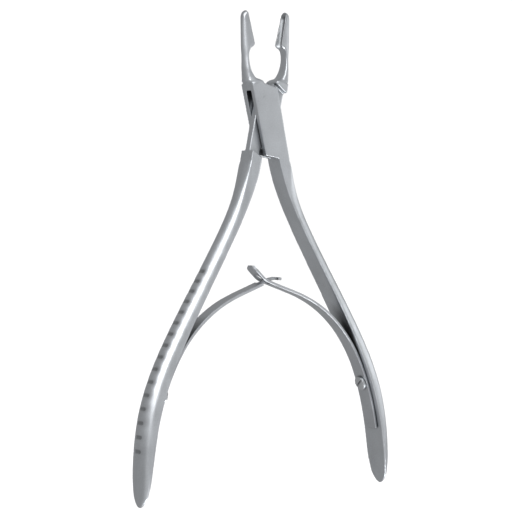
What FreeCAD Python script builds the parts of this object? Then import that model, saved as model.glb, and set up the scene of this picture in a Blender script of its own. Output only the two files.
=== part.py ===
import FreeCAD, Part
import math
import os

import Sketcher

# Bone rongeur: two box-jointed halves, a pivot pin and two interlocked leaf springs on screws.
# Millimetres. The flat instrument lies in XY with its jaws towards +Y and the pivot on the Z axis;
# Z = 0 is the back face of the joint. Each half is drawn closed, then turned open about the pivot.

SIZES = {
    # Whole instrument
    "open_angle": 12.5,
    "side_gap": 0.04,
    # Box joint
    "lock_thick": 5.8,
    "lock_width": 8.3,
    "lock_low_width": 7.8,
    "slot_thick": 2.5,
    "slot_play": 0.06,
    "swing_radius": 9.2,
    "swing_play": 0.15,
    "shoulder_play": 0.1,
    "throat_x": 0.5,
    "throat_y": 10.0,
    "throat_land": 0.6,
    "throat_lip": 0.3,
    "throat_floor": 0.35,
    "wall_top_y": 7.6,
    "wall_low_y": 10.4,
    "crotch_y": 12.2,
    "pin_radius": 1.6,
    "pin_play": 0.04,
    # Jaws
    "jaw_tip_y": 30.85,
    "tip_round": 1.35,
    "tip_flat": 0.25,
    "tip_slope_y": 1.8,
    "tip_slope_x": 1.25,
    "knee_y": 21.0,
    "knee_drop": 1.3,
    "throat_depth": 2.35,
    "cup_offset": 0.3,
    "cup_nose_radius": 1.0,
    "cup_heel_radius": 1.5,
    "cup_nose_y": 28.6,
    "cup_front_y": 29.9,
    "cup_heel_y": 21.5,
    "cup_run_out": 3.6,
    # Handle line from the crotch to the end
    "spread_radius": 58.0,
    "spread_turn": 14.0,
    "ease_radius": 200.0,
    "ease_turn": 4.5,
    "bow_run": 13.5,
    "back_radius": 242.0,
    "back_turn": 5.3,
    "palm_radius": 76.0,
    "palm_turn": 17.0,
    "tail_run": 16.4,
    "end_half": 4.2,
    "end_bulge": 5.2,
    # Grip grooves across the handle's crown
    "groove_count": 16,
    "groove_start": 37.2,
    "groove_pitch": 3.2,
    "groove_growth": 0.045,
    "groove_radius": 1.2,
    "groove_depth": 0.55,
    # Leaf springs
    "leaf_thick": 0.8,
    "leaf_foot_width": 4.9,
    "leaf_neck_width": 4.3,
    "leaf_seat_gap": 0.06,
    "leave_run": 71.0,
    "foot_length": 17.2,
    "lift_radius": 50.0,
    "lift_turn": 13.4,
    "sweep_radius": 38.7,
    "sweep_turn": 34.5,
    "hook_turn": 23.0,
    "hook_radius": 6.0,
    "hook_run": 3.2,
    "curl_radius": 1.3,
    "curl_turn": 55.0,
    "tongue_run": 0.8,
    "tongue_radius": 7.0,
    "tongue_turn": 34.0,
    "slot_width": 2.2,
    "slot_back": 1.6,
    "slot_ahead": 3.6,
    "tongue_width": 1.5,
    "tongue_start": 2.1,
    "bead_width": 3.0,
    "bead_length": 1.3,
    # Spring screws
    "screw_inset": 3.0,
    "screw_head_radius": 2.1,
    "screw_head_height": 1.2,
    "screw_dome": 0.45,
    "screw_radius": 1.1,
    "screw_depth": 2.2,
    "screw_play": 0.1,
    "screw_slot_width": 0.6,
    "screw_slot_depth": 0.55,
    "screw_slot_angle": 42.0,
}

# Handle sections: run along the handle line, depth across, thickness, height of the rounded crown
HANDLE_SECTIONS = {
    "root": (0.0, 5.8, 3.6, 0.45),
    "neck": (5.5, 6.2, 4.15, 0.8),
    "shank": (12.0, 6.3, 3.6, 1.2),
    "bow": (22.0, 6.6, 3.3, 1.8),
    "grip": (38.0, 7.2, 3.45, 2.2),
    "palm": (54.0, 7.7, 3.8, 2.3),
    "heel": (68.0, 8.0, 4.2, 2.4),
    "spoon": (80.0, 8.4, 4.1, 2.2),
    "tail": (92.0, 8.6, 3.0, 1.3),
    "tip": (105.4, 7.6, 1.9, 0.6),
}

# Jaw sections: height above the pivot, outer reach, width across, height of the rounded back
JAW_SECTIONS = {
    "lock": (8.2, 4.05, 5.66, 0.6),
    "root": (12.6, 4.3, 4.95, 1.2),
    "waist": (16.8, 4.05, 4.15, 1.45),
    "knee": (21.0, 3.45, 3.55, 1.5),
    "beak": (26.0, 2.45, 3.0, 1.15),
    "nose": (31.0, 1.45, 2.5, 0.85),
}

# Chords that a rounded back is drawn with, spans of a leaf's foot, free length and head
BACK_CHORDS = 6
FOOT_SPANS = 4
FREE_SPANS = 7
HEAD_SPANS = 7

# Shares of the throat's depth at its knee, and of the cup's radius and length on its two rounded ends
THROAT_KNEE = 0.7
CUP_NOSE = (0.78, 0.62)
CUP_HEEL = (0.8, 0.45)

# How far a joined shape reaches into its neighbour, and a cutting shape past what it cuts
OVERLAP = 1.0
CLEAR = 3.0

# Least volume that a cut has to take away
LEAST_CUT = 1e-3

doc = FreeCAD.newDocument("bone_rongeur")
sheet = doc.addObject("Spreadsheet::Sheet", "Sizes")


def fill_sheet():
    """Each size goes in a row of its own, under its name."""
    rows = dict(SIZES)
    for name, (run, depth, thick, crown) in HANDLE_SECTIONS.items():
        rows.update({f"handle_{name}_run": run, f"handle_{name}_depth": depth})
        rows.update({f"handle_{name}_thick": thick, f"handle_{name}_crown": crown})
    for name, (height, reach, width, crown) in JAW_SECTIONS.items():
        rows.update({f"jaw_{name}_height": height, f"jaw_{name}_reach": reach})
        rows.update({f"jaw_{name}_width": width, f"jaw_{name}_crown": crown})
    for row, (name, value) in enumerate(rows.items(), start=1):
        sheet.set(f"A{row}", name)
        sheet.set(f"B{row}", str(value))
        sheet.setAlias(f"B{row}", name)
    doc.recompute()


def size(name):
    return float(sheet.get(name))


def walk(start, heading, bends, distance):
    """Point and heading after a distance along a chain of (length, turn) bends."""
    x, y = start
    for length, turn in bends:
        part = min(distance, length)
        if part <= 0:
            break
        swing = math.radians(turn * part / length)
        facing = math.radians(heading)
        chord = part if turn == 0 else 2 * part / swing * math.sin(swing / 2)
        x += chord * math.sin(facing + swing / 2)
        y -= chord * math.cos(facing + swing / 2)
        heading += math.degrees(swing)
        distance -= part
    return (x, y), heading


def bend(radius, turn):
    return (radius * math.radians(abs(turn)), turn)


def handle_bends():
    return [
        bend(size("spread_radius"), size("spread_turn")),
        bend(size("ease_radius"), size("ease_turn")),
        (size("bow_run"), 0.0),
        bend(size("back_radius"), -size("back_turn")),
        bend(size("palm_radius"), -size("palm_turn")),
        (size("tail_run"), 0.0),
    ]


def handle_inner_x():
    return size("lock_low_width") / 2 - size("handle_root_thick")


def handle_point(run):
    """Point of the handle's inner face in the closed half, and its heading off straight down."""
    return walk((handle_inner_x(), -size("crotch_y")), 0.0, handle_bends(), run)


def screw_run():
    """Where the screw is along the handle line, just behind where the leaf leaves the handle."""
    return size("leave_run") + size("screw_inset")


def plane(body, role):
    return [f for f in body.Origin.OriginFeatures if f.Role == role][0]


def new_sketch(body, name, role, offset=None):
    sketch = body.newObject("Sketcher::SketchObject", name)
    sketch.AttachmentSupport = (plane(body, role), [""])
    sketch.MapMode = "FlatFace"
    if offset:
        sketch.AttachmentOffset = offset
    return sketch


def outline(sketch, shapes):
    """A closed run of lines and arcs, each joined to the next."""
    for shape in shapes:
        sketch.addGeometry(shape, False)
    return sketch


def bind(sketch, kind, places, value, expression):
    """A dimension that the sheet drives; the drawing already has its value."""
    index = sketch.addConstraint(Sketcher.Constraint(kind, *places, value))
    sketch.setExpression(f"Constraints[{index}]", expression)


def line(a, b):
    return Part.LineSegment(FreeCAD.Vector(*a, 0), FreeCAD.Vector(*b, 0))


def arc(a, middle, b):
    return Part.Arc(FreeCAD.Vector(*a, 0), FreeCAD.Vector(*middle, 0), FreeCAD.Vector(*b, 0))


def polygon(points):
    return [line(a, b) for a, b in zip(points, points[1:] + points[:1])]


def on_circle(radius, x, up):
    return (x, up * math.sqrt(radius**2 - x**2))


def turned(angle, axis=(0, 0, 1)):
    return FreeCAD.Rotation(FreeCAD.Vector(*axis), angle)


def bound_circle(sketch, radius, expression):
    """A circle about the sketch's origin, with its radius bound to the sheet."""
    sketch.addGeometry(Part.Circle(FreeCAD.Vector(), FreeCAD.Vector(0, 0, 1), radius), False)
    sketch.addConstraint(Sketcher.Constraint("Coincident", 0, 3, -1, 1))
    bind(sketch, "Radius", (0,), radius, expression)
    return sketch


def pad_across(body, sketch, name, depth):
    """Pad both ways from the middle plane, to a depth given as a sheet expression."""
    pad = body.newObject("PartDesign::Pad", name)
    pad.Profile = sketch
    pad.SideType = "Symmetric"
    pad.setExpression("Length", depth)
    doc.recompute()
    return pad


def check_cut(body, before, name):
    """Stop if a cut took nothing away."""
    doc.recompute()
    if body.Shape.Volume > before - LEAST_CUT:
        raise ValueError(name + " cuts nothing")


def pocket_across(body, sketch, name, depth):
    """Cut both ways from the middle plane, to a depth given as a sheet expression."""
    before = body.Shape.Volume
    pocket = body.newObject("PartDesign::Pocket", name)
    pocket.Profile = sketch
    pocket.SideType = "Symmetric"
    pocket.setExpression("Length", depth)
    check_cut(body, before, name)


def d_section(body, name, offset, side, cells, inner_gap=False):
    """A section with a flat inner face, two flanks and a rounded back, bound to the sheet."""
    width, reach, crown = cells
    half, back, rise = size(width) / 2, size(reach), size(crown)
    inner = side * size("side_gap") if inner_gap else 0.0
    shares = [2 * index / BACK_CHORDS - 1 for index in range(BACK_CHORDS + 1)]
    rounded = [(side * (back - rise * share**2), half * share) for share in shares]
    points = [(inner, half), (inner, -half)] + rounded
    sketch = outline(new_sketch(body, name, "XZ_Plane", offset), polygon(points))
    for index in range(len(points)):
        following = (index + 1) % len(points)
        sketch.addConstraint(Sketcher.Constraint("Coincident", index, 2, following, 1))
    for index, (x, y) in enumerate(points):
        share = 1 - 2 * index if index < 2 else shares[index - 2]
        if y:
            bind(sketch, "DistanceY", (-1, 1, index, 1), y, f"Sizes.{width} / 2 * {share}")
        else:
            sketch.addConstraint(Sketcher.Constraint("PointOnObject", index, 1, -1))
        if index >= 2:
            along = f"{side} * (Sizes.{reach} - Sizes.{crown} * {share**2})"
            bind(sketch, "DistanceX", (-1, 1, index, 1), x, along)
        elif inner_gap:
            bind(sketch, "DistanceX", (-1, 1, index, 1), x, f"{side} * Sizes.side_gap")
        else:
            sketch.addConstraint(Sketcher.Constraint("PointOnObject", index, 1, -2))
    return sketch


def loft(body, name, sketches):
    feature = body.newObject("PartDesign::AdditiveLoft", name)
    feature.Profile = sketches[0]
    feature.Sections = sketches[1:]
    doc.recompute()
    return feature


def lock_outline(side):
    """The joint's plate with both its shoulders; side is where the handle is."""
    half = size("lock_width") / 2
    low_half = size("lock_low_width") / 2
    inner = handle_inner_x()
    throat = (-side * size("throat_x"), size("throat_y"))
    land = size("throat_y") + size("throat_land")
    low = -size("crotch_y") - OVERLAP
    points = [
        (-side * low_half, -size("wall_low_y")),
        (side * inner, -size("crotch_y")),
        (side * inner, low),
        (side * low_half, low),
        (side * half, size("wall_top_y")),
        throat,
        (throat[0] - side * size("throat_lip"), land),
        (-side * half, land),
    ]
    return polygon(points)


def lock_plate(body, side):
    sketch = outline(new_sketch(body, f"{body.Name}_plate_outline", "XY_Plane"), lock_outline(side))
    pad_across(body, sketch, f"{body.Name}_plate", "Sizes.lock_thick")


def handle_loft(body, side):
    """The handle, lofted through its sections along the handle line."""
    sections = []
    for name in HANDLE_SECTIONS:
        (x, y), heading = handle_point(size(f"handle_{name}_run"))
        place = FreeCAD.Placement(FreeCAD.Vector(side * x, 0, -y), turned(side * heading, (0, 1, 0)))
        cells = [f"handle_{name}_{part}" for part in ("depth", "thick", "crown")]
        sections.append(d_section(body, f"{body.Name}_{name}_section", place, side, cells))
    loft(body, f"{body.Name}_handle", sections)


def jaw_loft(body, side):
    """The jaw, lofted from the joint to the tip, on the other side from the handle."""
    sections = []
    for name in JAW_SECTIONS:
        place = FreeCAD.Placement(FreeCAD.Vector(0, 0, -size(f"jaw_{name}_height")), FreeCAD.Rotation())
        cells = [f"jaw_{name}_{part}" for part in ("width", "reach", "crown")]
        sections.append(d_section(body, f"{body.Name}_jaw_{name}", place, -side, cells, inner_gap=True))
    loft(body, f"{body.Name}_jaw", sections)


def cut_throat(body, side):
    """The oval opening behind the cutting edges, which lets bone clear the jaws."""
    deep = size("throat_depth")
    lip = size("throat_lip")
    top_y = size("knee_y") + lip
    low_y = size("throat_y") + size("throat_floor")
    middle_y = (size("knee_y") + size("throat_y") + size("knee_drop")) / 2
    knee = (-side * deep * THROAT_KNEE, size("knee_y") - size("knee_drop"))
    middle = (-side * deep, middle_y)
    bottom = (-side * size("side_gap"), low_y)
    beyond = side * CLEAR
    shapes = [
        line((beyond, top_y), (side * lip, top_y)),
        line((side * lip, top_y), knee),
        arc(knee, middle, bottom),
        line(bottom, (beyond, low_y)),
        line((beyond, low_y), (beyond, top_y)),
    ]
    sketch = outline(new_sketch(body, f"{body.Name}_throat_outline", "XY_Plane"), shapes)
    pocket_across(body, sketch, f"{body.Name}_throat", "Sizes.lock_thick * 2")


def cut_slot(body, side):
    """The mortise through the box half, rounded about the pivot where the other half swings."""
    wide = size("lock_width") / 2 + OVERLAP
    radius = size("swing_radius") + size("swing_play")
    step = size("throat_x") - size("swing_play")
    top = size("throat_y") + size("throat_floor")
    low = size("crotch_y") + OVERLAP
    shapes = []
    for way, reach in ((1, top), (-1, low)):
        start = on_circle(radius, -way * side * wide, way)
        middle = on_circle(radius, -way * side * wide / 2, way)
        end = on_circle(radius, -way * side * step, way)
        corner = (end[0], way * reach)
        far = (way * side * wide, way * reach)
        shapes += [arc(start, middle, end), line(end, corner), line(corner, far)]
        shapes += [line(far, on_circle(radius, far[0], -way))]
    sketch = outline(new_sketch(body, f"{body.Name}_slot_outline", "XY_Plane"), shapes)
    pocket_across(body, sketch, f"{body.Name}_slot", "Sizes.slot_thick")


def cut_tongue_sides(body, side):
    """The flats on both faces of the through half, between its two shoulders."""
    half = size("lock_width") / 2
    play = size("shoulder_play")
    inner = handle_inner_x()
    low_slope = (size("crotch_y") - size("wall_low_y")) / (size("lock_low_width") / 2 + inner)
    top_slope = (size("throat_y") - size("wall_top_y")) / (half + size("throat_x"))
    far = half + CLEAR
    low_far = -size("wall_low_y") + CLEAR * low_slope - play
    top_far = size("wall_top_y") - CLEAR * top_slope + play
    low = -size("crotch_y") - CLEAR
    top = size("throat_y") + CLEAR
    points = [
        (side * far, low_far),
        (-side * inner, -size("crotch_y") - play),
        (-side * inner, low),
        (-side * far, low),
        (-side * far, top_far),
        (side * size("throat_x"), size("throat_y") + play),
        (side * size("throat_x"), top),
        (side * far, top),
    ]
    for way, name in ((1, "front"), (-1, "back")):
        label = f"{body.Name}_{name}_flat"
        sketch = outline(new_sketch(body, label + "_outline", "XY_Plane"), polygon(points))
        sketch.setExpression("AttachmentOffset.Base.z", f"{way} * (Sizes.slot_thick / 2 - Sizes.slot_play)")
        before = body.Shape.Volume
        pocket = body.newObject("PartDesign::Pocket", label)
        pocket.Profile = sketch
        pocket.Type = "ThroughAll"
        pocket.Reversed = way > 0
        check_cut(body, before, label)


def round_tongue(body, side):
    """The tongue's two ends, turned about the pivot to swing inside the slot."""
    radius = size("swing_radius")
    far = size("lock_width") / 2 + OVERLAP
    inner = handle_inner_x()
    top = size("throat_y") + CLEAR
    low = size("crotch_y") + CLEAR
    for way, name, start_x, reach in ((1, "top", 0.0, top), (-1, "low", -inner, low)):
        near_x, far_x = way * side * start_x, way * side * far
        near, end = on_circle(radius, near_x, way), on_circle(radius, far_x, way)
        middle = on_circle(radius, (near_x + far_x) / 2, way)
        corners = [end, (far_x, way * reach), (near_x, way * reach), near]
        shapes = [arc(near, middle, end)] + [line(a, b) for a, b in zip(corners, corners[1:])]
        sketch = outline(new_sketch(body, f"{body.Name}_{name}_round_outline", "XY_Plane"), shapes)
        pocket_across(body, sketch, f"{body.Name}_{name}_round", "Sizes.lock_thick * 2")


def bore_pivot(body, expression):
    sketch = new_sketch(body, f"{body.Name}_bore_outline", "XY_Plane")
    bound_circle(sketch, size("pin_radius"), expression)
    pocket_across(body, sketch, f"{body.Name}_bore", "Sizes.lock_thick * 2")


def shape_tip(body, side):
    """The beak's rounded end, seen from the side and from the cutting face."""
    tip = size("jaw_tip_y")
    flat, slope_x, slope_y = size("tip_flat"), size("tip_slope_x"), size("tip_slope_y")
    edge = (-side * flat, tip)
    heel = (-side * (flat + slope_x), tip - slope_y)
    middle = (-side * (flat + slope_x * math.sin(math.pi / 4)), tip - slope_y * (1 - math.cos(math.pi / 4)))
    far_x, near_x, top = -side * (slope_x + CLEAR), side * OVERLAP, tip + CLEAR
    corners = [heel, (far_x, heel[1]), (far_x, top), (near_x, top), (near_x, tip), edge]
    shapes = [arc(edge, middle, heel)] + [line(a, b) for a, b in zip(corners, corners[1:])]
    sketch = outline(new_sketch(body, f"{body.Name}_tip_slope_outline", "XY_Plane"), shapes)
    pocket_across(body, sketch, f"{body.Name}_tip_slope", "Sizes.lock_thick * 2")
    round_end(body, f"{body.Name}_tip_round", tip, size("tip_round"), size("tip_round"), 1)


def round_end(body, name, end, half, bulge, way):
    """Round one end off across the instrument, in the YZ plane."""
    start = end - way * bulge
    far = end + way * CLEAR
    wide = half + CLEAR
    corners = [(start, half), (start, wide), (far, wide), (far, -wide), (start, -wide), (start, -half)]
    shapes = [arc((start, -half), (end, 0), (start, half))]
    shapes += [line(a, b) for a, b in zip(corners, corners[1:])]
    sketch = outline(new_sketch(body, name + "_outline", "YZ_Plane"), shapes)
    pocket_across(body, sketch, name, "Sizes.lock_width * 8")


def hollow_cup(body, side):
    """The scoop in the cutting face: a turned hollow that runs out to a point behind the knee."""
    offset = FreeCAD.Placement(FreeCAD.Vector(side * size("cup_offset"), 0, 0), FreeCAD.Rotation())
    sketch = new_sketch(body, f"{body.Name}_cup_outline", "XY_Plane", offset)
    front = size("cup_front_y")
    nose = (-side * size("cup_nose_radius"), size("cup_nose_y"))
    heel = (-side * size("cup_heel_radius"), size("cup_heel_y"))
    end = heel[1] - size("cup_run_out")
    round_in, round_along = CUP_NOSE
    bulge = (nose[0] * round_in, nose[1] + round_along * (front - nose[1]))
    round_in, round_along = CUP_HEEL
    belly = (heel[0] * round_in, heel[1] - round_along * size("cup_run_out"))
    shapes = [arc((0, front), bulge, nose), line(nose, heel), arc(heel, belly, (0, end))]
    outline(sketch, shapes + [line((0, end), (0, front))])
    before = body.Shape.Volume
    groove = body.newObject("PartDesign::Groove", f"{body.Name}_cup")
    groove.Profile = sketch
    groove.ReferenceAxis = (sketch, ["V_Axis"])
    groove.Angle = 360
    check_cut(body, before, groove.Name)


def handle_thickness(run):
    """Thickness between the handle's sections, read off a straight line from one to the next."""
    names = list(HANDLE_SECTIONS)
    for low, high in zip(names, names[1:]):
        start, end = size(f"handle_{low}_run"), size(f"handle_{high}_run")
        if run <= end or high == names[-1]:
            share = (run - start) / (end - start)
            return size(f"handle_{low}_thick") * (1 - share) + size(f"handle_{high}_thick") * share


def cut_grip(body, side):
    """Round-bottomed grip grooves across the crown, a little further apart towards the end."""
    sketch = new_sketch(body, f"{body.Name}_grip_outline", "XY_Plane")
    run = size("groove_start")
    radius = size("groove_radius")
    for index in range(int(size("groove_count"))):
        (x, y), heading = handle_point(run)
        facing = math.radians(heading)
        out = handle_thickness(run) + radius - size("groove_depth")
        centre = (x + out * math.cos(facing), y + out * math.sin(facing))
        along = (radius * math.sin(facing), -radius * math.cos(facing))
        high = (side * (centre[0] - along[0]), centre[1] - along[1])
        low = (side * (centre[0] + along[0]), centre[1] + along[1])
        bottom = (side * (centre[0] + along[1]), centre[1] - along[0])
        outline(sketch, [arc(high, bottom, low), line(low, high)])
        run += size("groove_pitch") + size("groove_growth") * index
    pocket_across(body, sketch, f"{body.Name}_grip", "Sizes.handle_heel_depth * 2")


def drill_screw_seat(body, side):
    """The blind hole that takes the spring's screw, square to the handle's inner face."""
    point, heading = handle_point(screw_run())
    place = leaf_place(side, point, heading)
    sketch = new_sketch(body, f"{body.Name}_screw_hole_outline", "YZ_Plane", place)
    bound_circle(sketch, size("screw_radius"), "Sizes.screw_radius")
    before = body.Shape.Volume
    pocket = body.newObject("PartDesign::Pocket", f"{body.Name}_screw_hole")
    pocket.Profile = sketch
    pocket.Reversed = side > 0
    pocket.setExpression("Length", "Sizes.screw_depth")
    check_cut(body, before, pocket.Name)


def place_half(body, side):
    """Turn the closed half open about the pivot, and lift its middle plane to its height."""
    height = FreeCAD.Vector(0, 0, size("lock_thick") / 2)
    body.Placement = FreeCAD.Placement(height, turned(side * size("open_angle")))
    body.setExpression("Placement.Base.z", "Sizes.lock_thick / 2")
    body.setExpression("Placement.Rotation.Yaw", f"{side} * Sizes.open_angle")


def make_half(name, side):
    body = doc.addObject("PartDesign::Body", name)
    lock_plate(body, side)
    jaw_loft(body, side)
    handle_loft(body, side)
    cut_grip(body, side)
    cut_throat(body, side)
    if side > 0:
        cut_slot(body, side)
        bore_pivot(body, "Sizes.pin_radius")
    else:
        cut_tongue_sides(body, side)
        round_tongue(body, side)
        bore_pivot(body, "Sizes.pin_radius + Sizes.pin_play")
    shape_tip(body, side)
    hollow_cup(body, side)
    (_, end), _ = handle_point(size("handle_tip_run"))
    round_end(body, f"{name}_end_round", end, size("end_half"), size("end_bulge"), -1)
    drill_screw_seat(body, side)
    place_half(body, side)


def make_pin(name):
    """The pivot pin, ground flush with both faces of the joint."""
    body = doc.addObject("PartDesign::Body", name)
    sketch = new_sketch(body, f"{name}_outline", "XY_Plane")
    bound_circle(sketch, size("pin_radius"), "Sizes.pin_radius")
    pad_across(body, sketch, f"{name}_shaft", "Sizes.lock_thick")
    body.setExpression("Placement.Base.z", "Sizes.lock_thick / 2")


def seat_place(side, run):
    """Open-pose placement on the handle's inner face: local Y leaves the face, local Z is up."""
    (x, y), heading = handle_point(run)
    point = turned(side * size("open_angle")).multVec(FreeCAD.Vector(side * x, y, 0))
    point.z = size("lock_thick") / 2
    return FreeCAD.Placement(point, turned(side * (size("open_angle") + heading + 90)))


def make_screw(name, side):
    """A domed, slotted screw that clamps the spring's foot to the handle."""
    body = doc.addObject("PartDesign::Body", name)
    shank, head, dome = size("screw_radius"), size("screw_head_radius"), size("screw_dome")
    seat = size("leaf_seat_gap") * 2 + size("leaf_thick")
    top = seat + size("screw_head_height")
    foot = -size("screw_depth")
    ball = (head**2 + dome**2) / (2 * dome)
    crest = (head / 2, top - ball + math.sqrt(ball**2 - (head / 2) ** 2))
    corners = [(0, top), (0, foot), (shank, foot), (shank, seat), (head, seat), (head, top - dome)]
    shapes = [line(a, b) for a, b in zip(corners, corners[1:])] + [arc(corners[-1], crest, (0, top))]
    profile = outline(new_sketch(body, f"{name}_profile", "XY_Plane"), shapes)
    blank = body.newObject("PartDesign::Revolution", f"{name}_blank")
    blank.Profile = profile
    blank.ReferenceAxis = (profile, ["V_Axis"])
    blank.Angle = 360
    doc.recompute()
    half = size("screw_slot_width") / 2
    notch = box(-half, half, top - size("screw_slot_depth"), top + OVERLAP)
    place = FreeCAD.Placement(FreeCAD.Vector(), turned(size("screw_slot_angle"), (0, 1, 0)))
    across = outline(new_sketch(body, f"{name}_slot_outline", "XY_Plane", place), notch)
    pocket_across(body, across, f"{name}_slot", "Sizes.screw_head_radius * 3")
    body.Placement = seat_place(side, screw_run())


def leaf_lift():
    """Height of the leaf's middle above the handle's inner face."""
    return size("leaf_seat_gap") + size("leaf_thick") / 2


def on_handle(run):
    """Centre of the leaf where it lies on the handle, and its heading, in the closed half."""
    (x, y), heading = handle_point(run)
    facing = math.radians(heading)
    return (x - leaf_lift() * math.cos(facing), y - leaf_lift() * math.sin(facing)), heading


def leaf_bends(kind):
    """The free leaf from the handle up to the crossing, then its head."""
    lift = bend(size("lift_radius"), size("lift_turn"))
    sweep = bend(size("sweep_radius"), size("sweep_turn"))
    start, heading = on_handle(size("leave_run"))
    (x, y), facing = walk(start, heading + 180, [lift, sweep], lift[0] + sweep[0])
    open_turn = math.radians(size("open_angle"))
    across = x * math.cos(open_turn) - y * math.sin(open_turn)
    reach = across / -math.sin(math.radians(facing + size("open_angle")))
    bends = [lift, sweep, (reach, 0.0)]
    crossing = lift[0] + sweep[0] + reach
    if kind == "slotted":
        bends += [bend(size("hook_radius"), -size("hook_turn")), (size("hook_run"), 0.0)]
        bends += [bend(size("curl_radius"), -size("curl_turn"))]
    else:
        bends += [(size("tongue_run"), 0.0), bend(size("tongue_radius"), size("tongue_turn"))]
    return bends, crossing


def leaf_stations(kind):
    """Centre, heading and width of each section, from the foot's end to the tip."""
    leave = size("leave_run")
    foot_width, neck_width = size("leaf_foot_width"), size("leaf_neck_width")
    stations = []
    for index in range(FOOT_SPANS):
        run = leave + size("foot_length") * (1 - index / FOOT_SPANS)
        point, heading = on_handle(run)
        stations.append((point, heading, foot_width))
    bends, crossing = leaf_bends(kind)
    start, heading = on_handle(leave)
    total = sum(length for length, _ in bends)
    steps = [crossing * index / FREE_SPANS for index in range(FREE_SPANS)]
    steps += [crossing + (total - crossing) * index / HEAD_SPANS for index in range(HEAD_SPANS + 1)]
    for distance in steps:
        point, facing = walk(start, heading + 180, bends, distance)
        share = min(distance / crossing, 1)
        stations.append((point, facing - 180, foot_width * (1 - share) + neck_width * share))
    return stations


def leaf_place(side, point, heading):
    """A sketch place flat on a leaf: local X runs towards the tip, local Y across."""
    return FreeCAD.Placement(FreeCAD.Vector(point[1], 0, side * point[0]), turned(side * heading, (0, 1, 0)))


def oblong(start, end, half):
    """A slot outline with round ends, along local X."""
    left, right = start + half, end - half
    return [
        line((left, -half), (right, -half)),
        arc((right, -half), (end, 0), (right, half)),
        line((right, half), (left, half)),
        arc((left, half), (start, 0), (left, -half)),
    ]


def box(x_low, x_high, y_low, y_high):
    return polygon([(x_low, y_low), (x_high, y_low), (x_high, y_high), (x_low, y_high)])


def cut_leaf_hole(body, side):
    """The clearance hole for the screw, through the foot."""
    point, heading = handle_point(screw_run())
    sketch = new_sketch(body, f"{body.Name}_hole_outline", "YZ_Plane", leaf_place(side, point, heading))
    bound_circle(sketch, size("screw_radius") + size("screw_play"), "Sizes.screw_radius + Sizes.screw_play")
    pocket_across(body, sketch, f"{body.Name}_hole", "Sizes.leaf_thick * 6")


def cut_leaf_head(body, side, kind):
    """The slot in one head; the other leaf narrows to a tongue with a wider end."""
    bends, crossing = leaf_bends(kind)
    start, heading = on_handle(size("leave_run"))
    point, facing = walk(start, heading + 180, bends, crossing)
    place = leaf_place(side, point, facing - 180)
    sketch = new_sketch(body, f"{body.Name}_head_outline", "YZ_Plane", place)
    if kind == "slotted":
        outline(sketch, oblong(-size("slot_back"), size("slot_ahead"), size("slot_width") / 2))
        pocket_across(body, sketch, f"{body.Name}_slot", "Sizes.slot_ahead * 2")
        return
    half, wide = size("tongue_width") / 2, size("leaf_neck_width")
    tip, _ = walk(start, heading + 180, bends, sum(length for length, _ in bends))
    bead = math.dist(point, tip) - size("bead_length")
    for way in (1, -1):
        outline(sketch, box(-size("tongue_start"), bead, way * half, way * wide))
        outline(sketch, box(bead, bead + wide, way * size("bead_width") / 2, way * wide))
    pocket_across(body, sketch, f"{body.Name}_tongue", "Sizes.leaf_neck_width * 2")


def make_leaf(name, side, kind):
    """A spring leaf, lofted flat through its sections, with a slotted head or a tongue."""
    body = doc.addObject("PartDesign::Body", name)
    thick = size("leaf_thick") / 2
    sections = []
    for index, (point, heading, width) in enumerate(leaf_stations(kind)):
        centre = FreeCAD.Vector(side * point[0], 0, -point[1])
        place = FreeCAD.Placement(centre, turned(side * heading, (0, 1, 0)))
        across = box(-thick, thick, -width / 2, width / 2)
        sections.append(outline(new_sketch(body, f"{name}_section_{index}", "XZ_Plane", place), across))
    loft(body, f"{name}_blade", sections)
    cut_leaf_hole(body, side)
    cut_leaf_head(body, side, kind)
    place_half(body, side)


def check_model():
    """Stop before anything is written if an object failed or a sub-part has no valid shape."""
    doc.recompute()
    for item in doc.Objects:
        if "Invalid" in item.State or "Error" in item.State:
            raise ValueError(f"{item.Name} failed: {item.State}")
    bodies = [item for item in doc.Objects if item.TypeId == "PartDesign::Body"]
    for body in bodies:
        if body.Shape.isNull() or not body.Shape.isValid() or len(body.Shape.Solids) != 1:
            raise ValueError(f"{body.Label} is not one valid solid")
    return bodies


def main():
    fill_sheet()
    make_half("box_half", 1)
    make_half("through_half", -1)
    make_pin("pivot_pin")
    make_leaf("right_leaf_spring", 1, "slotted")
    make_leaf("left_leaf_spring", -1, "tongued")
    make_screw("right_spring_screw", 1)
    make_screw("left_spring_screw", -1)
    bodies = check_model()
    os.makedirs("parts", exist_ok=True)
    for body in bodies:
        body.Shape.exportStep(f"parts/{body.Label}.step")


main()
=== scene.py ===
import math

import bmesh
import bpy
from mathutils import Matrix, Vector
from mathutils.kdtree import KDTree


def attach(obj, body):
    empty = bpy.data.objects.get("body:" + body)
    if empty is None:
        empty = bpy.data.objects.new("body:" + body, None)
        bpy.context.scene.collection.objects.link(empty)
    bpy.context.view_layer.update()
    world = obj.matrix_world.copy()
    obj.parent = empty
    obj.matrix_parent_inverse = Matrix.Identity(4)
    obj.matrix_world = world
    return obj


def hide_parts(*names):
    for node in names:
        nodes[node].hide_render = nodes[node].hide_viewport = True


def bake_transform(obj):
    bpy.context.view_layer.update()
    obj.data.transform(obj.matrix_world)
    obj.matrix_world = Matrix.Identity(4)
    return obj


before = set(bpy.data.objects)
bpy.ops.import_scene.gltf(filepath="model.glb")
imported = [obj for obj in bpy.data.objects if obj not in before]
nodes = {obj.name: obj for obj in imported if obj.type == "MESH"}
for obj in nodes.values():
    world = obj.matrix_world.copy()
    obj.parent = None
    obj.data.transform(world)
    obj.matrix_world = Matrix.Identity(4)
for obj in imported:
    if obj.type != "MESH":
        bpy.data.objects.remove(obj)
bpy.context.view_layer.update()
mm = 0.001
# half-way up the thickness of the instrument
midHeight = 2.9 * mm

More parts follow.
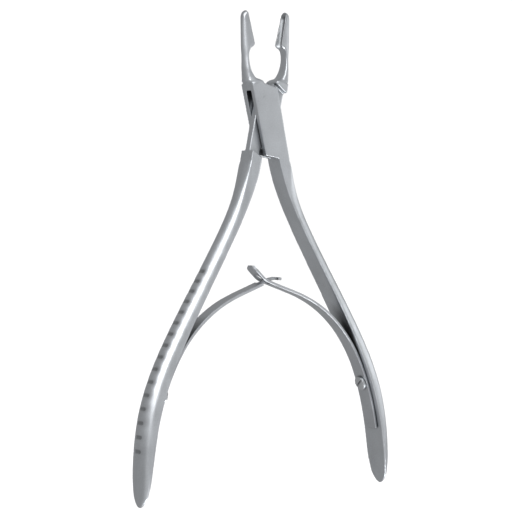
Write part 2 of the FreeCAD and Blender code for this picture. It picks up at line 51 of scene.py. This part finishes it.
# the view of the photograph: turned about the long axis, a little above the middle
camera = {
    "turn": math.radians(35.0),
    "rise": math.radians(2.0),
    "distance": 570 * mm,
    "imageSize": 512,
    "pixelsPerMm": 3.5,
    "pivotPixel": (265.0, 117.0),
    "sensor": 36.0,
    "clip": (0.01, 20),
}


def makeCamera(look):
    towards = Vector((
        -math.sin(look["turn"]) * math.cos(look["rise"]),
        math.sin(look["rise"]),
        math.cos(look["turn"]) * math.cos(look["rise"]),
    ))
    right = Vector((0, 1, 0)).cross(towards).normalized()
    up = towards.cross(right)
    centre = look["imageSize"] / 2
    scale = look["pixelsPerMm"] / mm
    target = Vector((0, 0, midHeight))
    target -= right * (look["pivotPixel"][0] - centre) / scale
    target -= up * (centre - look["pivotPixel"][1]) / scale
    data = bpy.data.cameras.new("photoCamera")
    data.sensor_width = look["sensor"]
    data.lens = scale * look["distance"] / look["imageSize"] * look["sensor"]
    data.clip_start, data.clip_end = look["clip"]
    view = bpy.data.objects.new("photoCamera", data)
    view.matrix_world = Matrix((
        (right.x, up.x, towards.x, 0),
        (right.y, up.y, towards.y, 0),
        (right.z, up.z, towards.z, 0),
        (0, 0, 0, 1),
    ))
    view.location = target + towards * look["distance"]
    bpy.context.scene.collection.objects.link(view)
    bpy.context.scene.camera = view


makeCamera(camera)
print("camera placed")


# helpers for node trees

def addNode(tree, kind, **values):
    node = tree.nodes.new(kind)
    for name, value in values.items():
        setattr(node, name, value)
    return node


def ramp(tree, factor, low, high, fromLow, fromHigh):
    node = addNode(tree, "ShaderNodeMapRange")
    node.inputs["From Min"].default_value = fromLow
    node.inputs["From Max"].default_value = fromHigh
    node.inputs["To Min"].default_value = low
    node.inputs["To Max"].default_value = high
    tree.links.new(factor, node.inputs["Value"])
    return node.outputs["Result"]


def combined(tree, operation, first, second):
    node = addNode(tree, "ShaderNodeMath", operation=operation)
    tree.links.new(first, node.inputs[0])
    tree.links.new(second, node.inputs[1])
    return node.outputs[0]


def stretchedNoise(tree, coords, scale, detail, stretch=(1, 1, 1)):
    mapping = addNode(tree, "ShaderNodeMapping")
    mapping.inputs["Scale"].default_value = stretch
    tree.links.new(coords, mapping.inputs["Vector"])
    noise = addNode(tree, "ShaderNodeTexNoise")
    noise.inputs["Scale"].default_value = scale
    noise.inputs["Detail"].default_value = detail
    tree.links.new(mapping.outputs["Vector"], noise.inputs["Vector"])
    return noise.outputs["Fac"]


def bumped(tree, height, normal, strength, distance):
    node = addNode(tree, "ShaderNodeBump")
    node.inputs["Strength"].default_value = strength
    node.inputs["Distance"].default_value = distance
    tree.links.new(height, node.inputs["Height"])
    tree.links.new(normal, node.inputs["Normal"])
    return node.outputs["Normal"]


# painted shade: corners, slots, cups and notches get a darker base colour where other surfaces
# close in around them, and where the notches and the jaw cup are marked
hollows = {
    "reach": 4.0 * mm,
    "openness": (0.2, 0.85),
    "deepest": 0.25,
    "marked": (0.1, 0.8),
    "markedTone": 0.55,
}


def shaded(tree, colour):
    near = addNode(tree, "ShaderNodeAmbientOcclusion", samples=8)
    near.inputs["Distance"].default_value = hollows["reach"]
    mark = addNode(tree, "ShaderNodeAttribute", attribute_name="hollow")
    # painted shade where the surface is closed in
    cornerTone = ramp(tree, near.outputs["AO"], hollows["deepest"], 1, *hollows["openness"])
    # painted shade in the marked notches and jaw cup
    markTone = ramp(tree, mark.outputs["Fac"], 1, hollows["markedTone"], *hollows["marked"])
    shade = addNode(tree, "ShaderNodeMix", data_type="RGBA", blend_type="MULTIPLY")
    shade.inputs["Factor"].default_value = 1.0
    tree.links.new(colour, shade.inputs["A"])
    tree.links.new(combined(tree, "MULTIPLY", cornerTone, markTone), shade.inputs["B"])
    return shade.outputs["Result"]


# satin steel: a clouded and flecked tone, brushing lines along the piece and fine pits
# each noise has its scale and detail, and noiseRange is where nearly all its values are
steel = {
    "cloud": (160, 4),
    "lines": (1, 3),
    "pits": (5200, 2),
    "fleck": (2400, 3),
    "noiseRange": (0.3, 0.7),
    "darker": 0.9,
    "lighter": 1.07,
    "lineRough": 0.05,
    "lineStrength": 0.35,
    "pitStrength": 0.3,
    "pitDepth": 0.004 * mm,
}
forgedFinish = {
    "tone": (0.575, 0.60, 0.63),
    "rough": (0.30, 0.39),
    "stretch": (900, 45, 900),
    "lineDepth": 0.008 * mm,
    "edgeRadius": 0.09 * mm,
}
springFinish = {
    "tone": (0.55, 0.57, 0.60),
    "rough": (0.32, 0.42),
    "stretch": (900, 60, 900),
    "lineDepth": 0.008 * mm,
    "edgeRadius": 0.07 * mm,
}
screwFinish = {
    "tone": (0.60, 0.62, 0.64),
    "rough": (0.28, 0.38),
    "stretch": (700, 700, 700),
    "lineDepth": 0.005 * mm,
    "edgeRadius": 0.06 * mm,
}


def satinSteel(name, finish):
    material = bpy.data.materials.new(name)
    material.use_nodes = True
    tree = material.node_tree
    tree.nodes.clear()
    coords = addNode(tree, "ShaderNodeTexCoord").outputs["Object"]
    cloud = stretchedNoise(tree, coords, *steel["cloud"])
    lines = stretchedNoise(tree, coords, *steel["lines"], finish["stretch"])
    pits = stretchedNoise(tree, coords, *steel["pits"])
    fleck = stretchedNoise(tree, coords, *steel["fleck"])
    spread = steel["noiseRange"]

    shader = addNode(tree, "ShaderNodeBsdfPrincipled")
    shader.inputs["Metallic"].default_value = 1.0
    tone = addNode(tree, "ShaderNodeMix", data_type="RGBA")
    tone.inputs["A"].default_value = (*(c * steel["darker"] for c in finish["tone"]), 1)
    tone.inputs["B"].default_value = (*(c * steel["lighter"] for c in finish["tone"]), 1)
    mottle = combined(
        tree, "ADD", ramp(tree, cloud, 0, 0.5, *spread), ramp(tree, fleck, 0, 0.5, *spread))
    tree.links.new(mottle, tone.inputs["Factor"])
    # the base colour carries painted shade in corners, slots, notches and the jaw cup
    tree.links.new(shaded(tree, tone.outputs["Result"]), shader.inputs["Base Color"])

    smooth = ramp(tree, cloud, *finish["rough"], *spread)
    brushed = ramp(tree, lines, -steel["lineRough"], steel["lineRough"], *spread)
    tree.links.new(combined(tree, "ADD", smooth, brushed), shader.inputs["Roughness"])

    edge = addNode(tree, "ShaderNodeBevel", samples=6)
    edge.inputs["Radius"].default_value = finish["edgeRadius"]
    grain = bumped(tree, lines, edge.outputs["Normal"], steel["lineStrength"], finish["lineDepth"])
    pitted = bumped(tree, pits, grain, steel["pitStrength"], steel["pitDepth"])
    tree.links.new(pitted, shader.inputs["Normal"])
    output = addNode(tree, "ShaderNodeOutputMaterial")
    tree.links.new(shader.outputs["BSDF"], output.inputs["Surface"])
    return material


forgedSteel = satinSteel("forgedSatinSteel", forgedFinish)
springSteel = satinSteel("springSatinSteel", springFinish)
screwSteel = satinSteel("screwSatinSteel", screwFinish)
print("finishes made")


def solidCopy(names):
    # one mesh from the frame's solids, with the loose triangles of each merged
    whole = bmesh.new()
    for name in names:
        whole.from_mesh(nodes[name].data)
    bmesh.ops.remove_doubles(whole, verts=whole.verts, dist=0.001 * mm)
    mesh = bpy.data.meshes.new("solid")
    whole.to_mesh(mesh)
    whole.free()
    return mesh


def softGroup(piece, name, weigh):
    group = piece.vertex_groups.new(name=name)
    for vertex in piece.data.vertices:
        weight = weigh(vertex.co)
        if weight > 0:
            group.add([vertex.index], weight, "REPLACE")


def applied(piece):
    bpy.context.view_layer.update()
    graph = bpy.context.evaluated_depsgraph_get()
    mesh = bpy.data.meshes.new_from_object(
        piece.evaluated_get(graph), preserve_all_data_layers=True, depsgraph=graph)
    piece.modifiers.clear()
    piece.data = mesh


def dressed(name, solids, settings, softened=()):
    # the frame's solids remeshed evenly, every edge broken a little, some parts rounded more
    piece = bpy.data.objects.new(name, solidCopy(solids))
    bpy.context.scene.collection.objects.link(piece)
    remesh = piece.modifiers.new("even", "REMESH")
    remesh.mode = "VOXEL"
    remesh.voxel_size = settings["voxel"]
    remesh.use_smooth_shade = True
    ease = piece.modifiers.new("ease", "SMOOTH")
    ease.factor = 0.5
    ease.iterations = settings["easing"]
    applied(piece)
    for group, weigh, rounds in softened:
        softGroup(piece, group, weigh)
        rounding = piece.modifiers.new(group, "SMOOTH")
        rounding.factor = 1.0
        rounding.iterations = rounds
        rounding.vertex_group = group
    applied(piece)
    piece.vertex_groups.clear()
    piece.data.materials.clear()
    piece.data.materials.append(settings["finish"])
    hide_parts(*solids)
    print(name, len(piece.data.polygons), "faces")
    return piece


def between(value, low, high):
    share = min(max((value - low) / (high - low), 0), 1)
    return share * share * (3 - 2 * share)


# the two halves: soft throat, jaw backs and handles, crisp cutting edges and slot
# all places are those of the closed half, and a pair is where a form starts and is full
halves = {
    "voxel": 0.205 * mm,
    "easing": 2,
    "finish": forgedSteel,
    "slot": "satin_steel",
    "openAngle": math.radians(12.5),
    "throatLow": (10.4 * mm, 11.4 * mm),
    "throatHigh": (18.6 * mm, 20.2 * mm),
    "throatRounds": 55,
    "backFrom": (0.5 * mm, 1.3 * mm),
    "backRounds": 32,
    "shoulderLow": (10.2 * mm, 11.0 * mm),
    "shoulderHigh": (13.5 * mm, 15.0 * mm),
    "shoulderFrom": (1.8 * mm, 2.8 * mm),
    "shoulderRounds": 60,
    "crownTop": (3.0 * mm, 13.0 * mm),
    "crownFrom": (0.5 * mm, 1.3 * mm),
    "crownRounds": 100,
    "handleRounds": 9,
    "swell": 0.3 * mm,
    "jawSwell": (0.3 * mm, 0.5 * mm),
    "jawSwellFrom": (11.5 * mm, 19.0 * mm),
    "tipLength": 9.5 * mm,
    "tipNarrow": 0.36,
    "tipThin": 0.7,
    "tipReach": 0.6 * mm,
    # where the jaw cup is marked for painted shade
    "cupEnds": ((20.8 * mm, 21.6 * mm), (30.2 * mm, 31.0 * mm)),
    "cupDepth": (-0.15 * mm, 0.2 * mm),
    "cupFacing": (0.05, 0.4),
}

# the handle line in the closed half, in millimetres and degrees of turn, and the notches
# across its crown, each a little farther from the next
handleLine = {
    "start": (0.3, -12.2),
    "bends": (
        (14.172, 14.0), (15.708, 4.5), (13.5, 0.0), (22.386, -5.3), (22.550, -17.0), (16.4, 0.0),
    ),
    "step": 0.5,
}
notches = {
    "Count": 16,
    "First": 37.2 * mm,
    "Pitch": 3.2 * mm,
    "Growth": 0.045 * mm,
    "Out": 2.2 * mm,
    "Far": 6.0 * mm,
    "Low": 1.5 * mm,
    "High": 3.6 * mm,
    "Width": 0.9 * mm,
    "Depth": 0.35 * mm,
}


def linePoints(line):
    x, y = line["start"]
    heading = 0.0
    points = [(x, y)]
    for length, turn in line["bends"]:
        steps = round(length / line["step"])
        for _ in range(steps):
            heading += turn / steps / 2
            x += length / steps * math.sin(math.radians(heading))
            y -= length / steps * math.cos(math.radians(heading))
            heading += turn / steps / 2
            points.append((x, y))
    return points


linePath = [Vector((x * mm, y * mm, 0)) for x, y in linePoints(handleLine)]
lineTree = KDTree(len(linePath))
for index, point in enumerate(linePath):
    lineTree.insert(point, index)
lineTree.balance()


def onHandle(point, side):
    # how far down the handle line a point of the closed half is, and how far out from it
    flat = Vector((side * point.x, point.y, 0))
    _, index, _ = lineTree.find(flat)
    low = max(index - 1, 0)
    high = min(index + 1, len(linePath) - 1)
    along = (linePath[high] - linePath[low]).normalized()
    gap = flat - linePath[index]
    run = index * handleLine["step"] * mm + gap.dot(along)
    return run, gap.dot(Vector((-along.y, along.x, 0)))


def lineCurve(name, side):
    # the handle line as a curve, turned open with its half
    turn = Matrix.Rotation(side * halves["openAngle"], 3, "Z")
    curve = bpy.data.curves.new(name, "CURVE")
    curve.dimensions = "3D"
    spline = curve.splines.new("POLY")
    spline.points.add(len(linePath) - 1)
    for target, point in zip(spline.points, linePath):
        target.co = (*(turn @ Vector((side * point.x, point.y, 0))), 1)
    path = bpy.data.objects.new(name, curve)
    bpy.context.scene.collection.objects.link(path)
    return path


def notchTree(side):
    tree = bpy.data.node_groups.new("gripNotches", "GeometryNodeTree")
    kinds = {
        "Geometry": "NodeSocketGeometry",
        "Line": "NodeSocketObject",
        "Finish": "NodeSocketMaterial",
    }
    for name, value in notches.items():
        kinds[name] = "NodeSocketInt" if isinstance(value, int) else "NodeSocketFloat"
    sockets = {}
    for name, kind in kinds.items():
        socket = tree.interface.new_socket(name, in_out="INPUT", socket_type=kind)
        sockets[name] = socket.identifier
    tree.interface.new_socket("Geometry", in_out="OUTPUT", socket_type="NodeSocketGeometry")
    given = addNode(tree, "NodeGroupInput").outputs

    def calc(operation, *values):
        node = addNode(tree, "ShaderNodeMath", operation=operation)
        for socket, value in zip(node.inputs, values):
            if isinstance(value, (int, float)):
                socket.default_value = value
            else:
                tree.links.new(value, socket)
        return node.outputs[0]

    def linked(kind, settings=None, **inputs):
        node = addNode(tree, kind, **(settings or {}))
        for name, value in inputs.items():
            tree.links.new(value, node.inputs[name.replace("_", " ")])
        return node

    # where each notch is along the line, and a small blade there, square to it
    index = addNode(tree, "GeometryNodeInputIndex").outputs[0]
    growths = calc("MULTIPLY", index, calc("SUBTRACT", index, 1))
    spread = calc("MULTIPLY", growths, calc("MULTIPLY", given["Growth"], 0.5))
    run = calc("ADD", given["First"], calc("ADD", calc("MULTIPLY", given["Pitch"], index), spread))
    line = linked("GeometryNodeObjectInfo", Object=given["Line"])
    sample = linked("GeometryNodeSampleCurve", {"mode": "LENGTH"},
                    Curves=line.outputs["Geometry"], Length=run)
    dots = linked("GeometryNodePoints", Count=given["Count"], Position=sample.outputs["Position"])

    across = addNode(tree, "ShaderNodeVectorMath", operation="CROSS_PRODUCT")
    tree.links.new(sample.outputs["Tangent"], across.inputs[0])
    across.inputs[1].default_value = (0, 0, -side)
    turned = linked("FunctionNodeAxesToRotation", {"primary_axis": "X", "secondary_axis": "Y"},
                    Primary_Axis=across.outputs[0])
    turned.inputs["Secondary Axis"].default_value = (0, 0, 1)

    wide = calc("SUBTRACT", given["Far"], given["Out"])
    tall = calc("SUBTRACT", given["High"], given["Low"])
    blade = linked("GeometryNodeMeshGrid", Size_X=wide, Size_Y=tall)
    blade.inputs["Vertices X"].default_value = 2
    blade.inputs["Vertices Y"].default_value = 2
    place = linked("ShaderNodeCombineXYZ",
                   X=calc("MULTIPLY", calc("ADD", given["Far"], given["Out"]), 0.5),
                   Y=calc("MULTIPLY", calc("ADD", given["High"], given["Low"]), 0.5))
    moved = linked("GeometryNodeTransform",
                   Geometry=blade.outputs["Mesh"], Translation=place.outputs[0])
    row = linked("GeometryNodeInstanceOnPoints", Points=dots.outputs[0], Instance=moved.outputs[0],
                 Rotation=turned.outputs[0])
    blades = linked("GeometryNodeRealizeInstances", Geometry=row.outputs[0])

    # the nearer a point is to a blade, the deeper it is pressed in
    near = linked("GeometryNodeProximity", {"target_element": "FACES"}, Geometry=blades.outputs[0])
    share = calc("DIVIDE", near.outputs["Distance"], given["Width"])
    hollow = addNode(tree, "ShaderNodeClamp")
    tree.links.new(calc("SUBTRACT", 1, calc("MULTIPLY", share, share)), hollow.inputs["Value"])
    dip = calc("MULTIPLY", hollow.outputs[0], hollow.outputs[0])
    # the same share is kept on the surface, to paint shade inside the notch
    kept = linked("GeometryNodeStoreNamedAttribute", {"data_type": "FLOAT", "domain": "POINT"},
                  Geometry=given["Geometry"], Value=dip)
    kept.inputs["Name"].default_value = "hollow"
    inward = addNode(tree, "ShaderNodeVectorMath", operation="SCALE")
    tree.links.new(addNode(tree, "GeometryNodeInputNormal").outputs[0], inward.inputs[0])
    depth = calc("MULTIPLY", dip, calc("MULTIPLY", given["Depth"], -1))
    tree.links.new(depth, inward.inputs["Scale"])
    pressed = linked("GeometryNodeSetPosition", Geometry=kept.outputs[0], Offset=inward.outputs[0])
    whole = linked("GeometryNodeRealizeInstances", Geometry=pressed.outputs[0])
    finished = linked("GeometryNodeSetMaterial",
                      Geometry=whole.outputs[0], Material=given["Finish"])
    result = addNode(tree, "NodeGroupOutput")
    tree.links.new(finished.outputs[0], result.inputs["Geometry"])
    return tree, sockets


def cutNotches(half, side):
    path = lineCurve("handleLine", side)
    tree, sockets = notchTree(side)
    cut = half.modifiers.new("gripNotches", "NODES")
    cut.node_group = tree
    cut[sockets["Line"]] = path
    cut[sockets["Finish"]] = halves["finish"]
    for name, value in notches.items():
        cut[sockets[name]] = value
    applied(half)
    bpy.data.objects.remove(path)


def fillAndPoint(half, side, turn):
    # crown and jaw back filled out to their full roundness, and the end drawn in to a point
    back = turn.inverted()
    end = handleLine["step"] * mm * (len(linePath) - 1)
    along = (linePath[-1] - linePath[-2]).normalized()
    along.x *= side
    outward = Vector((-along.y * side, along.x * side, 0))
    # read before any point moves: each move makes Blender work out every normal again
    facings = [turn @ vertex.normal for vertex in half.data.vertices]
    for vertex, facing in zip(half.data.vertices, facings):
        closed = turn @ vertex.co
        if closed.y > halves["throatLow"][0]:
            low, more = halves["jawSwell"]
            amount = low + more * (1 - between(closed.y, *halves["jawSwellFrom"]))
            amount *= (between(-side * closed.x, *halves["backFrom"])
                       * between(closed.y, *halves["throatLow"]))
            closed.x -= side * amount
        elif closed.y < linePath[0].y:
            run, out = onHandle(closed, side)
            fill = halves["swell"] * between(out, *halves["crownFrom"])
            fill *= between(run, *halves["crownTop"])
            closed += Vector((facing.x, facing.y, 0)) * fill
            share = min(max((run - end) / halves["tipLength"] + 1, 0), 1) ** 2
            closed -= outward * out * share * halves["tipThin"]
            closed += along * share * halves["tipReach"]
            closed.z = midHeight + (closed.z - midHeight) * (1 - share * halves["tipNarrow"])
        vertex.co = back @ closed


def shadeCup(half, side, turn):
    # painted shade: the hollow of the jaw is marked to be drawn darker
    low, high = halves["cupEnds"]
    cupShade = half.data.attributes["hollow"].data
    for vertex in half.data.vertices:
        closed = turn @ vertex.co
        if low[0] < closed.y < high[1]:
            inside = between(closed.y, *low) * (1 - between(closed.y, *high))
            inside *= between(-side * closed.x, *halves["cupDepth"])
            inside *= between(side * (turn @ vertex.normal).x, *halves["cupFacing"])
            cupShade[vertex.index].value = max(cupShade[vertex.index].value, inside)


def makeHalf(name, solids, body, side):
    # brings a point of the open half to its place in the closed one
    turn = Matrix.Rotation(-side * halves["openAngle"], 3, "Z")

    def throat(point):
        y = (turn @ point).y
        return between(y, *halves["throatLow"]) * (1 - between(y, *halves["throatHigh"]))

    def jawBack(point):
        closed = turn @ point
        height = between(closed.y, *halves["throatLow"])
        return height * between(-side * closed.x, *halves["backFrom"])

    def shoulder(point):
        closed = turn @ point
        height = between(closed.y, *halves["shoulderLow"])
        height *= 1 - between(closed.y, *halves["shoulderHigh"])
        return height * between(-side * closed.x, *halves["shoulderFrom"])

    def handle(point):
        closed = turn @ point
        if closed.y > linePath[0].y:
            return 0
        return between(onHandle(closed, side)[0], *halves["crownTop"])

    def crown(point):
        closed = turn @ point
        if closed.y > linePath[0].y:
            return 0
        run, out = onHandle(closed, side)
        return between(run, *halves["crownTop"]) * between(out, *halves["crownFrom"])

    softened = [
        ("throat", throat, halves["throatRounds"]),
        ("jawBack", jawBack, halves["backRounds"]),
        ("handle", handle, halves["handleRounds"]),
        ("crown", crown, halves["crownRounds"]),
    ]
    if side > 0:
        softened.append(("shoulder", shoulder, halves["shoulderRounds"]))
    half = dressed(name, solids, halves, softened)
    fillAndPoint(half, side, turn)
    cutNotches(half, side)
    shadeCup(half, side, turn)
    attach(half, body)


makeHalf("boxHalf", ("box_half", "pivot_pin"), "box_body", 1)
makeHalf("throughHalf", ("through_half",), "through_body", -1)

screws = {"voxel": 0.07 * mm, "easing": 2, "finish": screwSteel, "slot": "screw_steel"}
rightScrew = dressed("rightSpringScrew", ("right_spring_screw",), screws)
leftScrew = dressed("leftSpringScrew", ("left_spring_screw",), screws)
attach(rightScrew, "box_body")
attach(leftScrew, "through_body")

leaves = {
    "voxel": 0.11 * mm,
    "easing": 2,
    "finish": springSteel,
    "slot": "spring_steel",
    "headLength": 2.0 * mm,
    "headLeast": 0.55,
}


def roundHead(leaf):
    # the forked head narrows to a rounded end
    tip = max(leaf.data.vertices, key=lambda vertex: vertex.co.y).co.copy()
    for vertex in leaf.data.vertices:
        gap = math.hypot(vertex.co.x - tip.x, vertex.co.y - tip.y)
        share = max(0, 1 - gap / leaves["headLength"])
        narrow = max(leaves["headLeast"], math.sqrt(1 - share * share))
        vertex.co.z = midHeight + (vertex.co.z - midHeight) * narrow


for side, node, name, body, leafBody in (
    (1, "right_leaf_spring", "rightLeaf", "box_body", "right_leaf"),
    (-1, "left_leaf_spring", "leftLeaf", "through_body", "left_leaf"),
):
    leaf = dressed(name, (node,), leaves)
    if side > 0:
        roundHead(leaf)
    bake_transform(leaf)
print("pieces dressed")

# pale floor under the instrument, far enough below for its shadow to be soft
floorFacts = {"below": 45 * mm, "half": 3.0, "tone": (0.93, 0.93, 0.93, 1), "rough": 0.9}


def makeFloor(facts):
    mesh = bpy.data.meshes.new("paleFloor")
    h = facts["half"]
    mesh.from_pydata([(-h, -h, 0), (h, -h, 0), (h, h, 0), (-h, h, 0)], [], [(0, 1, 2, 3)])
    mesh.transform(Matrix.Translation((0, 0, -facts["below"])))
    floor = bpy.data.objects.new("paleFloor", mesh)
    bpy.context.scene.collection.objects.link(floor)
    material = bpy.data.materials.new("palePaper")
    material.use_nodes = True
    shader = material.node_tree.nodes["Principled BSDF"]
    shader.inputs["Base Color"].default_value = facts["tone"]
    shader.inputs["Roughness"].default_value = facts["rough"]
    floor.data.materials.append(material)
    # not mirrored in the steel
    floor.visible_glossy = False


makeFloor(floorFacts)

# studio: a sky that is brighter above than below, and soft boxes that give the long streaks
studio = {
    "aim": (0, -40 * mm, 3 * mm),
    "skyAbove": 0.60,
    "skyBelow": 0.38,
    "skyHeights": (-0.7, 0.8),
    "boxes": (
        # name, direction it comes from, distance, width, length, watts
        ("keyBox", (-0.74, 0.50, 0.46), 0.75, 0.35, 0.5, 1.7),
        ("endBox", (0.10, -0.90, 0.55), 0.8, 0.6, 0.4, 5.0),
        ("headBox", (-0.20, 0.85, 0.60), 0.8, 0.6, 0.4, 1.5),
        ("sideBox", (0.95, 0.05, 0.30), 0.8, 0.2, 0.9, 0.6),
    ),
}


def makeLights(facts):
    middle = Vector(facts["aim"])
    for name, direction, distance, width, length, watts in facts["boxes"]:
        data = bpy.data.lights.new(name, "AREA")
        data.shape = "RECTANGLE"
        data.size = width
        data.size_y = length
        data.energy = watts
        light = bpy.data.objects.new(name, data)
        aim = Vector(direction).normalized()
        light.location = middle + aim * distance
        light.rotation_euler = aim.to_track_quat("Z", "Y").to_euler()
        bpy.context.scene.collection.objects.link(light)
    world = bpy.context.scene.world or bpy.data.worlds.new("studio")
    bpy.context.scene.world = world
    world.use_nodes = True
    tree = world.node_tree
    parts = addNode(tree, "ShaderNodeSeparateXYZ")
    coords = addNode(tree, "ShaderNodeTexCoord")
    tree.links.new(coords.outputs["Generated"], parts.inputs[0])
    sky = ramp(tree, parts.outputs["Z"], facts["skyBelow"], facts["skyAbove"], *facts["skyHeights"])
    background = tree.nodes["Background"]
    background.inputs["Color"].default_value = (1, 1, 1, 1)
    tree.links.new(sky, background.inputs["Strength"])
    bpy.context.scene.view_settings.view_transform = "Standard"


makeLights(studio)
print("light set")
